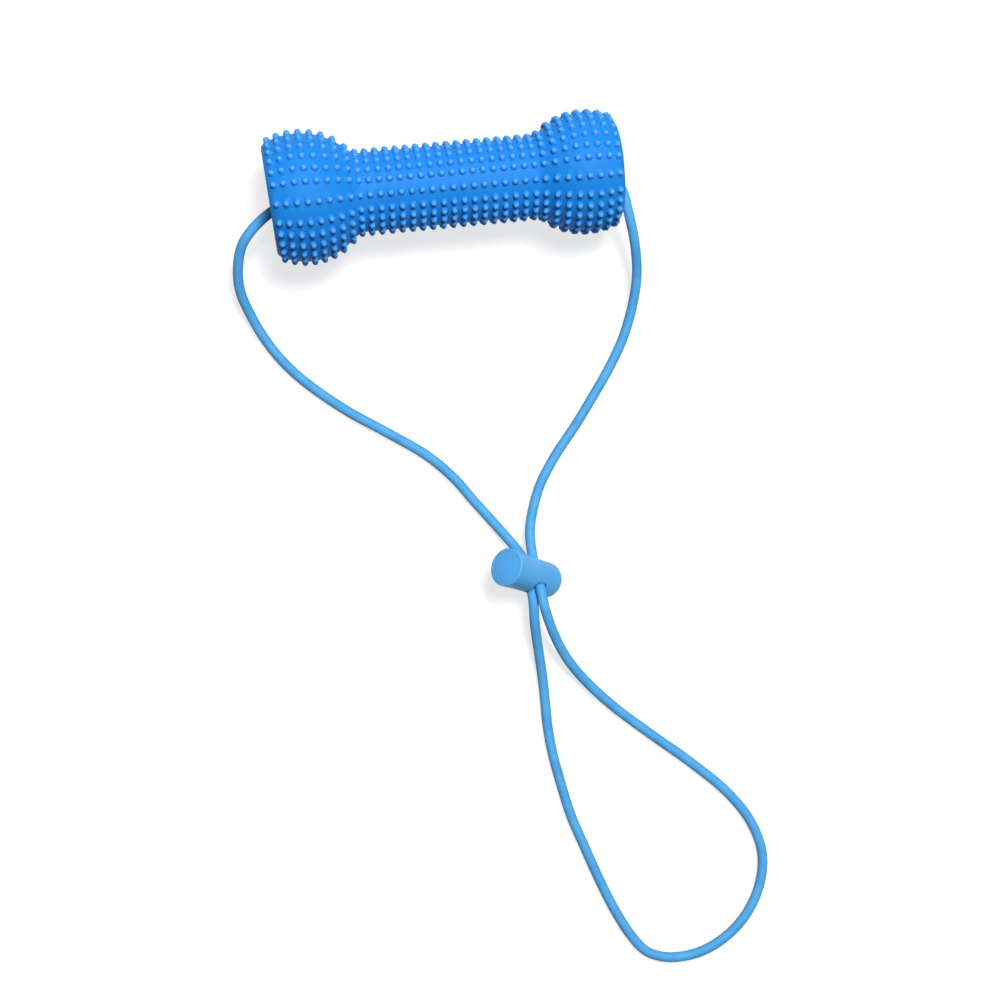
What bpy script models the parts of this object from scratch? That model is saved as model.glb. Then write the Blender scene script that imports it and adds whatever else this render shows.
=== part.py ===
# Bone-shaped rubber chew stick, covered in small nubs, threaded on an elastic cord with a sprung cord lock.
# The bone lies along X on the ground plane, its middle over the origin. The cord runs through the bone,
# leaves it at both ends towards -Y, passes twice through the lock and ends in a loop.
import math

import bmesh
import bpy
from mathutils import Euler, Matrix, Vector

MM = 0.001

# Clearances
RUNNING_GAP = 0.3 * MM  # between pieces that slide or turn on each other
FACE_GAP = 0.3 * MM  # between the end faces of two stretches of cord
OVERRUN = 4 * MM  # how far a cutter passes the surfaces that it cuts

# Chew bone, sizes without the nubs
BONE_LENGTH = 122.5 * MM
SHAFT_RADIUS = 13.6 * MM
LEFT_LOBE_RADIUS = 22 * MM
RIGHT_LOBE_RADIUS = 20.3 * MM
LOBE_ARC_RADIUS = 24 * MM  # of a lobe's outline
CROWN_FROM_END = 11.6 * MM  # from an end face to the widest place of its lobe
NECK_ROUNDING = 2.4 * MM
LEFT_END_LEAN = math.radians(2.7)  # of the left end face from square, nearer the middle towards -Y
LEAN_REACH = 31 * MM  # from the left end, where its lean dies out
RIM_MARGIN = 1 * MM  # from an end face to the first nub's cell
BORE_RADIUS = 6 * MM
MOUTH_RADIUS = 2.5 * MM  # rounding where the bore meets an end face
RIM_STEPS = 3
MOUTH_STEPS = 3

# Nubs: 28 rows on a lobe, of which 22 go on along the shaft
NUB_PITCH = 3.58 * MM  # from ring to ring
NUB_WIDTH = 2.4 * MM
NUB_HEIGHT = 1.5 * MM
NUB_CLEARANCE = 0.1 * MM  # the least between the feet of two nubs
QUARTER_ROWS = 7
SHAFT_QUARTER_ROWS = 5
SHAFT_ROW_STEP = math.radians(14.9)
SHAFT_EDGE = math.radians(85.6)  # where the last shaft row of a quarter turn gives way to a smooth band
LOBE_BAND = math.radians(6)  # extra width of the smooth band beside the middle row
SHAFT_BAND = math.radians(5.6)
BLEND_START = 18.8 * MM  # from an end face, where the rows start to close up towards the shaft
BLEND_END = 31.8 * MM
BONE_ROLL = math.radians(14.4)  # the middle row's turn from the top towards -Y

# Elastic cord
CORD_RADIUS = 1.8 * MM
CORD_POINT_SPACING = 3 * 2 * CORD_RADIUS
CORD_MOST_TURN = math.radians(22)  # between two points of a tube
CORD_STRAIGHT = 3.5 * MM  # at both ends of a stretch, so that the ends of two stretches meet squarely
CORD_SAMPLES = 24  # of the smooth curve, between two points of a route
CUT_INSIDE = 14 * MM  # from an end face into the bore, where a free stretch of the cord starts
BORE_CORD_Y = -0.5 * MM  # where the cord lies in the bore
BORE_LEAD = 4 * MM  # straight start of a free stretch
LOCK_LEAD = 7 * MM  # straight end of a stretch, from the middle of the lock

# Sleeve that joins the two ends of the cord, inside the bore
JOINER_LENGTH = 14 * MM
JOINER_WALL = 1 * MM
JOINER_SIDES = 24
JOINER_LIFT = 0.5 * MM  # over the bore's lowest line

# Cord lock: a flared barrel with a sprung button in its mouth
LOCK_LENGTH = 27.7 * MM
LOCK_END_RADIUS = 6.4 * MM
LOCK_FACE_RADIUS = 6.85 * MM
LOCK_END_ROUNDING = 4.4 * MM
LOCK_END_STEPS = 6
LOCK_RIM_ROUNDING = 0.4 * MM
FLARE_START = 15.5 * MM  # from the closed end
FLARE_POWER = 1.6
FLARE_STEPS = 5
BARREL_BORE_RADIUS = 5.2 * MM
BARREL_FLOOR = 2.6 * MM
SLOT_CORNER_RADIUS = 1.6 * MM
CORD_FROM_END = 12 * MM  # from the closed end to the cord's middle
SLOT_HEADROOM = 1.8 * MM  # extra height of the barrel's slot on the button's side
PRESS_TRAVEL = 2.4 * MM
BUTTON_RADIUS = 5.6 * MM
BUTTON_THICKNESS = 1.6 * MM
BUTTON_ROUNDING = 0.3 * MM
STEM_WEB = 3 * MM  # below the plunger's slot
POCKET_DEPTH = 1.6 * MM
POCKET_RADIUS = 3.6 * MM
SPRING_RADIUS = 2.9 * MM
SPRING_WIRE_RADIUS = 0.25 * MM
SPRING_TURNS = 4
SPRING_TURN_POINTS = 12
LOCK_SIDES = 40

# Where the lock lies: its closed end's place on the ground and its three turns
LOCK_X = 24.5 * MM
LOCK_Y = -143.5 * MM
LOCK_AZIMUTH = math.radians(155.6)
LOCK_TILT = math.radians(45)
LOCK_ROLL = math.radians(38)

# The cord's route, chosen by hand: from the bore to the lock on either side, then the loop
LEFT_ROUTE = (
    (-55.0 * MM, -1.1 * MM, 21.1 * MM),
    (-59.2 * MM, -2.5 * MM, 21.4 * MM),
    (-63.5 * MM, -5.1 * MM, 21.6 * MM),
    (-68.4 * MM, -9.0 * MM, 20.9 * MM),
    (-72.3 * MM, -13.5 * MM, 18.9 * MM),
    (-74.8 * MM, -20.4 * MM, 14.6 * MM),
    (-75.2 * MM, -28.0 * MM, 9.6 * MM),
    (-72.9 * MM, -35.8 * MM, 5.2 * MM),
    (-69.4 * MM, -43.8 * MM, 2.6 * MM),
    (-64.3 * MM, -52.3 * MM, 1.9 * MM),
    (-56.7 * MM, -61.3 * MM, 1.8 * MM),
    (-42.6 * MM, -73.6 * MM, 1.8 * MM),
    (-28.8 * MM, -83.2 * MM, 1.8 * MM),
    (-15.7 * MM, -92.8 * MM, 1.8 * MM),
    (-6.8 * MM, -102.0 * MM, 1.8 * MM),
    (-0.6 * MM, -110.9 * MM, 1.8 * MM),
    (5.0 * MM, -118.7 * MM, 2.4 * MM),
    (9.2 * MM, -124.7 * MM, 3.3 * MM),
    (12.4 * MM, -129.5 * MM, 4.4 * MM),
)
RIGHT_ROUTE = (
    (55.0 * MM, -1.0 * MM, 19.3 * MM),
    (58.1 * MM, -2.0 * MM, 19.5 * MM),
    (60.5 * MM, -3.5 * MM, 19.7 * MM),
    (62.3 * MM, -5.6 * MM, 19.8 * MM),
    (63.3 * MM, -8.4 * MM, 19.8 * MM),
    (63.9 * MM, -12.0 * MM, 19.6 * MM),
    (64.7 * MM, -16.8 * MM, 18.7 * MM),
    (65.7 * MM, -22.4 * MM, 16.6 * MM),
    (66.6 * MM, -29.0 * MM, 12.9 * MM),
    (66.8 * MM, -36.8 * MM, 8.4 * MM),
    (64.8 * MM, -46.7 * MM, 4.2 * MM),
    (60.8 * MM, -57.1 * MM, 1.9 * MM),
    (54.7 * MM, -67.4 * MM, 1.8 * MM),
    (47.2 * MM, -77.7 * MM, 1.8 * MM),
    (39.4 * MM, -87.8 * MM, 1.8 * MM),
    (30.9 * MM, -97.9 * MM, 1.8 * MM),
    (24.2 * MM, -107.8 * MM, 1.9 * MM),
    (20.4 * MM, -116.6 * MM, 3.3 * MM),
    (18.2 * MM, -124.3 * MM, 5.4 * MM),
)
LOOP_ROUTE = (
    (15.8 * MM, -151.0 * MM, 13.3 * MM),
    (15.6 * MM, -156.0 * MM, 12.2 * MM),
    (15.9 * MM, -161.5 * MM, 9.4 * MM),
    (16.5 * MM, -168.0 * MM, 6.0 * MM),
    (17.1 * MM, -177.0 * MM, 2.9 * MM),
    (17.2 * MM, -186.0 * MM, 1.9 * MM),
    (17.1 * MM, -195.1 * MM, 1.8 * MM),
    (17.8 * MM, -205.0 * MM, 1.8 * MM),
    (19.6 * MM, -216.5 * MM, 1.8 * MM),
    (22.0 * MM, -228.6 * MM, 1.8 * MM),
    (25.5 * MM, -240.0 * MM, 1.8 * MM),
    (29.2 * MM, -251.5 * MM, 1.8 * MM),
    (33.4 * MM, -263.0 * MM, 1.8 * MM),
    (38.6 * MM, -274.0 * MM, 1.8 * MM),
    (43.4 * MM, -280.6 * MM, 1.8 * MM),
    (48.0 * MM, -283.3 * MM, 1.8 * MM),
    (55.0 * MM, -284.7 * MM, 1.8 * MM),
    (64.5 * MM, -283.7 * MM, 1.8 * MM),
    (74.1 * MM, -279.4 * MM, 1.8 * MM),
    (82.5 * MM, -272.1 * MM, 1.8 * MM),
    (88.5 * MM, -261.8 * MM, 1.8 * MM),
    (90.5 * MM, -251.0 * MM, 1.8 * MM),
    (87.7 * MM, -239.4 * MM, 1.8 * MM),
    (80.5 * MM, -227.8 * MM, 1.8 * MM),
    (68.3 * MM, -215.2 * MM, 1.8 * MM),
    (54.0 * MM, -202.4 * MM, 1.8 * MM),
    (42.0 * MM, -191.2 * MM, 2.0 * MM),
    (32.3 * MM, -180.2 * MM, 4.0 * MM),
    (25.9 * MM, -170.6 * MM, 8.0 * MM),
    (22.1 * MM, -161.8 * MM, 12.2 * MM),
    (20.0 * MM, -154.5 * MM, 15.0 * MM),
    (19.1 * MM, -149.5 * MM, 15.8 * MM),
)

# Sizes that follow from the ones above
NUB_RINGS = 2 * math.ceil((BONE_LENGTH / 2 - RIM_MARGIN) / NUB_PITCH)
LEAST_CELL = NUB_WIDTH + NUB_CLEARANCE  # a narrower cell has no nub, as where rows close up at the neck
CORD_PASS_OFFSET = CORD_RADIUS + RUNNING_GAP / 2  # of each of the two cords in the lock
SLOT_WIDTH = 4 * CORD_RADIUS + 3 * RUNNING_GAP
SLOT_LOW = CORD_FROM_END - CORD_RADIUS - RUNNING_GAP  # the low edge of both slots at rest
BARREL_SLOT_HIGH = CORD_FROM_END + CORD_RADIUS + RUNNING_GAP + SLOT_HEADROOM
PLUNGER_SLOT_HIGH = CORD_FROM_END + CORD_RADIUS + RUNNING_GAP + PRESS_TRAVEL
STEM_BOTTOM = SLOT_LOW - STEM_WEB
JOINER_BORE_RADIUS = CORD_RADIUS + RUNNING_GAP
JOINER_RADIUS = JOINER_BORE_RADIUS + JOINER_WALL
AXIS_HEIGHT = (LEFT_LOBE_RADIUS + RIGHT_LOBE_RADIUS) / 2 + NUB_HEIGHT
CROWN_DISTANCE = BONE_LENGTH - 2 * CROWN_FROM_END
BONE_TILT = math.asin((LEFT_LOBE_RADIUS - RIGHT_LOBE_RADIUS) / CROWN_DISTANCE)  # both lobes on the ground
BORE_CORD_HEIGHT = JOINER_RADIUS + JOINER_LIFT - BORE_RADIUS  # over the bone's axis

COLOURS = {
    "bone_rubber": ((0.075, 0.27, 0.82, 1), 0.55, 0),
    "cord_elastic": ((0.12, 0.42, 0.86, 1), 0.6, 0),
    "lock_plastic": ((0.13, 0.43, 0.92, 1), 0.38, 0),
    "joiner_plastic": ((0.1, 0.32, 0.8, 1), 0.45, 0),
    "spring_steel": ((0.62, 0.63, 0.65, 1), 0.3, 1),
}


def clear_scene():
    for obj in list(bpy.data.objects):
        bpy.data.objects.remove(obj)


def material(name):
    colour, roughness, metallic = COLOURS[name]
    made = bpy.data.materials.new(name)
    made.use_nodes = True
    shader = made.node_tree.nodes["Principled BSDF"]
    shader.inputs["Base Color"].default_value = colour
    shader.inputs["Roughness"].default_value = roughness
    shader.inputs["Metallic"].default_value = metallic
    made.diffuse_color = colour
    return made


def add_object(name, data, finish, parent=None):
    obj = bpy.data.objects.new(name, data)
    bpy.context.scene.collection.objects.link(obj)
    obj.parent = parent
    if finish:
        data.materials.append(finish)
    return obj


def mesh_from(name, bm):
    bmesh.ops.recalc_face_normals(bm, faces=bm.faces)
    mesh = bpy.data.meshes.new(name)
    bm.to_mesh(mesh)
    bm.free()
    mesh.shade_smooth()
    mesh.set_sharp_from_angle(angle=math.radians(35))
    return mesh


def spun(profile, axis, steps, start=None):
    """A closed profile of points, spun once round an axis through the origin."""
    bm = start or bmesh.new()
    verts = [bm.verts.new(point) for point in profile]
    edges = [bm.edges.new((a, b)) for a, b in zip(verts, verts[1:] + verts[:1])]
    bmesh.ops.spin(
        bm,
        geom=verts + edges,
        cent=(0, 0, 0),
        axis=axis,
        angle=2 * math.pi,
        steps=steps,
        use_merge=True,
    )
    return bm


def smoothstep(share):
    share = min(max(share, 0), 1)
    return share * share * (3 - 2 * share)


# The bone's outline and its rows of nubs


def bone_frame():
    """The bone's axis is this frame's X axis."""
    frame = bpy.data.objects.new("bone_frame", None)
    bpy.context.scene.collection.objects.link(frame)
    turn = Euler((0, BONE_TILT, 0)).to_matrix().to_4x4()
    frame.matrix_world = Matrix.Translation((0, 0, AXIS_HEIGHT)) @ turn
    return frame


def outline_radius(x):
    """The bone's radius at x, without nubs: a round lobe or the shaft, with a rounded neck between."""
    beyond_crown = BONE_LENGTH / 2 - abs(x) - CROWN_FROM_END
    inside = max(LOBE_ARC_RADIUS**2 - beyond_crown**2, 0)
    crown = LEFT_LOBE_RADIUS if x < 0 else RIGHT_LOBE_RADIUS
    lobe = crown - LOBE_ARC_RADIUS + math.sqrt(inside)
    share = max(NECK_ROUNDING - abs(lobe - SHAFT_RADIUS), 0) / NECK_ROUNDING
    return max(lobe, SHAFT_RADIUS) + share**2 * NECK_ROUNDING / 4


def outline_slope(x):
    reach = BONE_LENGTH / 10000
    return math.atan2(outline_radius(x + reach) - outline_radius(x - reach), 2 * reach)


def row_angle(row, x):
    """The angle of a row of one quarter turn, counted from the middle row, which is row 0."""
    if not row:
        return 0
    lobe = LOBE_BAND + row * (math.pi / 2 - LOBE_BAND) / QUARTER_ROWS
    edge_row = SHAFT_QUARTER_ROWS + 0.5
    if row < edge_row:
        shaft = SHAFT_BAND + row * SHAFT_ROW_STEP
    else:
        share = (row - edge_row) / (QUARTER_ROWS - edge_row)
        shaft = SHAFT_EDGE + share * (math.pi / 2 - SHAFT_EDGE)
    from_end = BONE_LENGTH / 2 - abs(x)
    blend = smoothstep((from_end - BLEND_START) / (BLEND_END - BLEND_START))
    return lobe + blend * (shaft - lobe)


def column_angle(column, x):
    """The angle of a row counted all round. A number and a half is the border to the next row."""
    quarter, row = divmod(column, QUARTER_ROWS)
    if quarter % 2 == 0:
        return quarter * math.pi / 2 + row_angle(row, x)
    return (quarter + 1) * math.pi / 2 - row_angle(QUARTER_ROWS - row, x)


def on_bone(x, angle, lift=0):
    """A point over the bone's surface, in the frame of its axis."""
    slope = outline_slope(x)
    radius = outline_radius(x) + lift * math.cos(slope)
    turn = angle + BONE_ROLL
    along = x - lift * math.sin(slope)
    return Vector((along, -radius * math.sin(turn), radius * math.cos(turn)))


def lean_left_end(bm):
    """Slants the left lobe so that its end face leans, less and less towards the shaft."""
    for vert in bm.verts:
        share = smoothstep((-vert.co.x - BONE_LENGTH / 2 + LEAN_REACH) / LEAN_REACH)
        vert.co.x -= share * math.tan(LEFT_END_LEAN) * vert.co.y


def angle_of(point):
    return (math.atan2(-point.y, point.z) - BONE_ROLL) % (2 * math.pi)


def end_outline(border):
    """From the last cell's border round the rim, down the end face and into the bore."""
    side = math.copysign(1, border)
    slope = abs(outline_slope(border))
    rim = RIM_MARGIN / (1 - math.sin(slope))
    rim_x = abs(border) - rim * math.sin(slope)
    rim_r = outline_radius(border) - rim * math.cos(slope)
    end = []
    for i in range(1, RIM_STEPS + 1):
        t = slope + (math.pi / 2 - slope) * i / RIM_STEPS
        end.append((side * (rim_x + rim * math.sin(t)), 0, rim_r + rim * math.cos(t)))
    for i in range(MOUTH_STEPS + 1):
        t = math.pi / 2 * i / MOUTH_STEPS
        x = BONE_LENGTH / 2 - MOUTH_RADIUS + MOUTH_RADIUS * math.cos(t)
        end.append((side * x, 0, BORE_RADIUS + MOUTH_RADIUS - MOUTH_RADIUS * math.sin(t)))
    return end


def bone_profile(borders):
    """The closed outline that is spun: the nubs' cells, then one end, the bore and the other end."""
    outer = [(x, 0, outline_radius(x)) for x in borders]
    return outer + end_outline(borders[-1]) + end_outline(borders[0])[::-1]


def chew_bone(finish, frame):
    columns = 4 * QUARTER_ROWS
    last = BONE_LENGTH / 2 - RIM_MARGIN
    borders = [max(-last, min(NUB_PITCH * (i - NUB_RINGS / 2), last)) for i in range(NUB_RINGS + 1)]
    bm = spun(bone_profile(borders), (1, 0, 0), columns)
    step = 2 * math.pi / columns
    for vert in bm.verts:
        spin_angle = math.atan2(-vert.co.y, vert.co.z) % (2 * math.pi)
        column = round(spin_angle / step) % columns
        radius = math.hypot(vert.co.y, vert.co.z)
        turn = column_angle(column + 0.5, vert.co.x) + BONE_ROLL
        vert.co = (vert.co.x, -radius * math.sin(turn), radius * math.cos(turn))
    bmesh.ops.recalc_face_normals(bm, faces=bm.faces)
    grow_nubs(bm, borders, columns)
    lean_left_end(bm)
    add_object("chew_bone", mesh_from("chew_bone", bm), finish, frame)


def nub_places(borders, columns):
    """(ring, column) to (x, angle) of each nub."""
    found = {}
    for ring, (low, high) in enumerate(zip(borders, borders[1:])):
        if high - low < LEAST_CELL:
            continue
        x = (low + high) / 2
        for column in range(columns):
            angle = column_angle(column, x)
            room = min(angle - column_angle(column - 0.5, x), column_angle(column + 0.5, x) - angle)
            if 2 * room * outline_radius(x) > LEAST_CELL:
                found[ring, column] = (x, angle)
    return found


def grow_nubs(bm, borders, columns):
    """Insets each nub's cell to the nub's foot and pokes it out to a point."""
    places = nub_places(borders, columns)
    cells = {}
    for face in bm.faces:
        middle = face.calc_center_median()
        if math.hypot(middle.y, middle.z) < outline_radius(middle.x) * 0.9:
            continue
        ring = next((i for i in range(len(borders) - 1) if borders[i] < middle.x < borders[i + 1]), None)
        if ring is None:
            continue
        x = (borders[ring] + borders[ring + 1]) / 2
        away = [
            (abs((angle_of(middle) - column_angle(c, x) + math.pi) % (2 * math.pi) - math.pi), c)
            for c in range(columns)
        ]
        column = min(away)[1]
        if (ring, column) in places:
            cells[face] = places[ring, column]
    bmesh.ops.inset_individual(bm, faces=list(cells), thickness=NUB_WIDTH / 8)
    for face, (x, angle) in cells.items():
        reach = NUB_WIDTH / 2
        for vert in face.verts:
            turn = (angle_of(vert.co) - angle + math.pi) % (2 * math.pi) - math.pi
            side_x = math.copysign(reach * math.cos(outline_slope(x)), vert.co.x - x)
            side_turn = math.copysign(reach / outline_radius(x), turn)
            vert.co = on_bone(x + side_x, angle + side_turn)
    feet = list(cells)
    centres = [cells[face] for face in feet]
    tips = bmesh.ops.poke(bm, faces=feet)["verts"]
    for tip in tips:
        near = min(centres, key=lambda c: (on_bone(*c) - tip.co).length_squared)
        tip.co = on_bone(*near, lift=NUB_HEIGHT)


# The cord


def smooth_route(points):
    """A smooth curve through the points, as many small steps of it."""
    points = [Vector(p) for p in points]
    ends = [2 * points[0] - points[1]] + points + [2 * points[-1] - points[-2]]
    smooth = []
    for p0, p1, p2, p3 in zip(ends, ends[1:], ends[2:], ends[3:]):
        d1, d2, d3 = ((b - a).length ** 0.5 for a, b in ((p0, p1), (p1, p2), (p2, p3)))
        t1, t2, t3 = d1, d1 + d2, d1 + d2 + d3
        for i in range(CORD_SAMPLES):
            t = t1 + d2 * i / CORD_SAMPLES
            a1 = p0.lerp(p1, t / t1)
            a2 = p1.lerp(p2, (t - t1) / d2)
            a3 = p2.lerp(p3, (t - t2) / d3)
            b1 = a1.lerp(a2, t / t2)
            b2 = a2.lerp(a3, (t - t1) / (t3 - t1))
            smooth.append(b1.lerp(b2, (t - t1) / d2))
    smooth.append(points[-1])
    for point in smooth:
        point.z = max(point.z, CORD_RADIUS)
    return smooth


def trimmed(line, start, end):
    """The line without its first and last stretch of these lengths."""
    for length in (start, end):
        line = list(line)
        while length > 0:
            step = (line[1] - line[0]).length
            if step > length:
                line[0] = line[0].lerp(line[1], length / step)
                break
            length -= step
            line.pop(0)
        line.reverse()
    return line


def tube_points(line):
    """Few points of a line: closer together where it bends, with a straight start and end."""
    middle = trimmed(line, CORD_STRAIGHT, CORD_STRAIGHT)
    kept = [line[0], middle[0]]
    run = turn = 0
    for before, here, after in zip(middle, middle[1:], middle[2:]):
        run += (here - before).length
        turn += (here - before).angle(after - here)
        if run > CORD_POINT_SPACING or turn > CORD_MOST_TURN:
            kept.append(here)
            run = turn = 0
    if (kept[-1] - middle[-1]).length < CORD_RADIUS:
        kept.pop()
    return kept + [middle[-1], line[-1]]


def tube(name, points, radius, resolution, finish, parent=None):
    curve = bpy.data.curves.new(name, "CURVE")
    curve.dimensions = "3D"
    curve.bevel_depth = radius
    curve.bevel_resolution = resolution
    curve.use_fill_caps = True
    spline = curve.splines.new("POLY")
    spline.points.add(len(points) - 1)
    for place, point in zip(spline.points, points):
        place.co = (*point, 1)
    return add_object(name, curve, finish, parent)


def cord(finish, bone, lock):
    """The closed cord in five stretches: two in the bore, one from each end of the bone, and the loop."""
    half_cut = FACE_GAP / 2
    cut_x = BONE_LENGTH / 2 - CUT_INSIDE

    def in_bone(x):
        return bone @ Vector((x, BORE_CORD_Y, BORE_CORD_HEIGHT))

    def in_lock(side, y):
        return lock @ Vector((side * CORD_PASS_OFFSET, y, CORD_FROM_END))

    for name, route, side in (("left", LEFT_ROUTE, 1), ("right", RIGHT_ROUTE, -1)):
        stretch = trimmed([in_bone(0), in_bone(-side * cut_x)], half_cut, half_cut)
        tube(f"cord_bore_{name}", stretch, CORD_RADIUS, 2, finish)
        start = [in_bone(-side * cut_x), in_bone(-side * (cut_x + BORE_LEAD))]
        end = [in_lock(side, -LOCK_LEAD), in_lock(side, -LOCK_LEAD / 2), in_lock(side, 0)]
        free = trimmed(smooth_route([*start, *route, *end]), half_cut, half_cut)
        tube(f"cord_{name}", tube_points(free), CORD_RADIUS, 2, finish)
    start = [in_lock(1, 0), in_lock(1, LOCK_LEAD / 2), in_lock(1, LOCK_LEAD)]
    end = [in_lock(-1, LOCK_LEAD), in_lock(-1, LOCK_LEAD / 2), in_lock(-1, 0)]
    loop = trimmed(smooth_route([*start, *LOOP_ROUTE, *end]), half_cut, half_cut)
    tube("cord_loop", tube_points(loop), CORD_RADIUS, 2, finish)


def cord_joiner(finish, frame):
    half = JOINER_LENGTH / 2
    inner, outer = JOINER_BORE_RADIUS, JOINER_RADIUS
    profile = [(-half, 0, outer), (half, 0, outer), (half, 0, inner), (-half, 0, inner)]
    bm = spun(profile, (1, 0, 0), JOINER_SIDES)
    joiner = add_object("cord_joiner", mesh_from("cord_joiner", bm), finish, frame)
    joiner.location = (0, BORE_CORD_Y, BORE_CORD_HEIGHT)


# The cord lock, in a frame with its closed end at the origin and its button towards +Z


def lock_frame():
    rounding = LOCK_END_ROUNDING
    height = rounding + (LOCK_END_RADIUS - rounding) * math.sin(LOCK_TILT)
    height -= rounding * math.cos(LOCK_TILT)
    turn = (
        Euler((0, 0, LOCK_AZIMUTH)).to_matrix()
        @ Euler((0, LOCK_TILT, 0)).to_matrix()
        @ Euler((0, 0, LOCK_ROLL)).to_matrix()
    )
    frame = bpy.data.objects.new("lock_frame", None)
    bpy.context.scene.collection.objects.link(frame)
    frame.matrix_world = Matrix.Translation((LOCK_X, LOCK_Y, height)) @ turn.to_4x4()
    return frame


def lock_radius(z):
    share = max(z - FLARE_START, 0) / (LOCK_LENGTH - FLARE_START)
    return LOCK_END_RADIUS + (LOCK_FACE_RADIUS - LOCK_END_RADIUS) * share**FLARE_POWER


def slot_cutter(name, high, parent):
    bm = bmesh.new()
    bmesh.ops.create_cube(bm, size=1)
    depth = 2 * (LOCK_FACE_RADIUS + OVERRUN)
    bmesh.ops.scale(bm, vec=(SLOT_WIDTH, depth, high - SLOT_LOW), verts=bm.verts)
    along = [e for e in bm.edges if abs((e.verts[0].co - e.verts[1].co).y) > depth / 2]
    bmesh.ops.bevel(
        bm,
        geom=along,
        offset=SLOT_CORNER_RADIUS,
        segments=4,
        profile=0.5,
        affect="EDGES",
    )
    cutter = add_object(name, mesh_from(name, bm), None, parent)
    cutter.location = (0, 0, (SLOT_LOW + high) / 2)
    cutter.hide_render = True
    cutter.display_type = "WIRE"
    return cutter


def cut(obj, cutter):
    modifier = obj.modifiers.new("slot", "BOOLEAN")
    modifier.operation = "DIFFERENCE"
    modifier.solver = "EXACT"
    modifier.object = cutter


def lock_barrel(finish, frame):
    rounding, rim = LOCK_END_ROUNDING, LOCK_RIM_ROUNDING
    mouth = BUTTON_RADIUS + RUNNING_GAP
    shoulder = LOCK_LENGTH - BUTTON_THICKNESS - PRESS_TRAVEL - RUNNING_GAP
    outer = [(0, 0), (LOCK_END_RADIUS - rounding, 0)]
    for i in range(1, LOCK_END_STEPS + 1):
        t = math.pi / 2 * i / LOCK_END_STEPS
        r = LOCK_END_RADIUS - rounding + rounding * math.sin(t)
        outer.append((r, rounding - rounding * math.cos(t)))
    flare_top = LOCK_LENGTH - rim
    for i in range(FLARE_STEPS + 1):
        z = FLARE_START + (flare_top - FLARE_START) * i / FLARE_STEPS
        outer.append((lock_radius(z), z))
    outer.append((lock_radius(flare_top) - rim, LOCK_LENGTH))
    inner = [
        (mouth, LOCK_LENGTH),
        (mouth, shoulder),
        (BARREL_BORE_RADIUS, shoulder),
        (BARREL_BORE_RADIUS, BARREL_FLOOR),
        (0, BARREL_FLOOR),
    ]
    bm = turned([(r, 0, z) for r, z in outer + inner])
    barrel = add_object("lock_barrel", mesh_from("lock_barrel", bm), finish, frame)
    cut(barrel, slot_cutter("barrel_slot_cutter", BARREL_SLOT_HIGH, frame))


def turned(profile):
    """A profile that starts and ends on the Z axis, turned round it."""
    bm = bmesh.new()
    verts = [bm.verts.new(point) for point in profile]
    edges = [bm.edges.new((a, b)) for a, b in zip(verts, verts[1:])]
    bmesh.ops.spin(
        bm,
        geom=verts + edges,
        cent=(0, 0, 0),
        axis=(0, 0, 1),
        angle=2 * math.pi,
        steps=LOCK_SIDES,
        use_merge=True,
    )
    bmesh.ops.remove_doubles(bm, verts=bm.verts, dist=SPRING_WIRE_RADIUS / 100)
    return bm


def lock_plunger(finish, frame):
    stem = BARREL_BORE_RADIUS - RUNNING_GAP
    head = LOCK_LENGTH - BUTTON_THICKNESS
    profile = [
        (0, STEM_BOTTOM + POCKET_DEPTH),
        (POCKET_RADIUS, STEM_BOTTOM + POCKET_DEPTH),
        (POCKET_RADIUS, STEM_BOTTOM),
        (stem, STEM_BOTTOM),
        (stem, head),
        (BUTTON_RADIUS, head),
        (BUTTON_RADIUS, LOCK_LENGTH - BUTTON_ROUNDING),
        (BUTTON_RADIUS - BUTTON_ROUNDING, LOCK_LENGTH),
        (0, LOCK_LENGTH),
    ]
    bm = turned([(r, 0, z) for r, z in profile])
    plunger = add_object("lock_plunger", mesh_from("lock_plunger", bm), finish, frame)
    cut(plunger, slot_cutter("plunger_slot_cutter", PLUNGER_SLOT_HIGH, frame))


def lock_spring(finish, frame):
    """The coil between the barrel's floor and the pocket in the plunger's stem."""
    low = BARREL_FLOOR + RUNNING_GAP + SPRING_WIRE_RADIUS
    high = STEM_BOTTOM + POCKET_DEPTH - RUNNING_GAP - SPRING_WIRE_RADIUS
    count = SPRING_TURNS * SPRING_TURN_POINTS
    points = []
    for i in range(count + 1):
        t = 2 * math.pi * i / SPRING_TURN_POINTS
        z = low + (high - low) * i / count
        points.append(Vector((SPRING_RADIUS * math.cos(t), SPRING_RADIUS * math.sin(t), z)))
    tube("lock_spring", points, SPRING_WIRE_RADIUS, 1, finish, frame)


clear_scene()
finishes = {name: material(name) for name in COLOURS}
bone = bone_frame()
lock = lock_frame()
chew_bone(finishes["bone_rubber"], bone)
lock_barrel(finishes["lock_plastic"], lock)
lock_plunger(finishes["lock_plastic"], lock)
lock_spring(finishes["spring_steel"], lock)
cord_joiner(finishes["joiner_plastic"], bone)
bpy.context.view_layer.update()
cord(finishes["cord_elastic"], bone.matrix_world.copy(), lock.matrix_world.copy())
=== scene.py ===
import math

import bmesh
import bpy
from mathutils import Matrix, Vector


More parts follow.
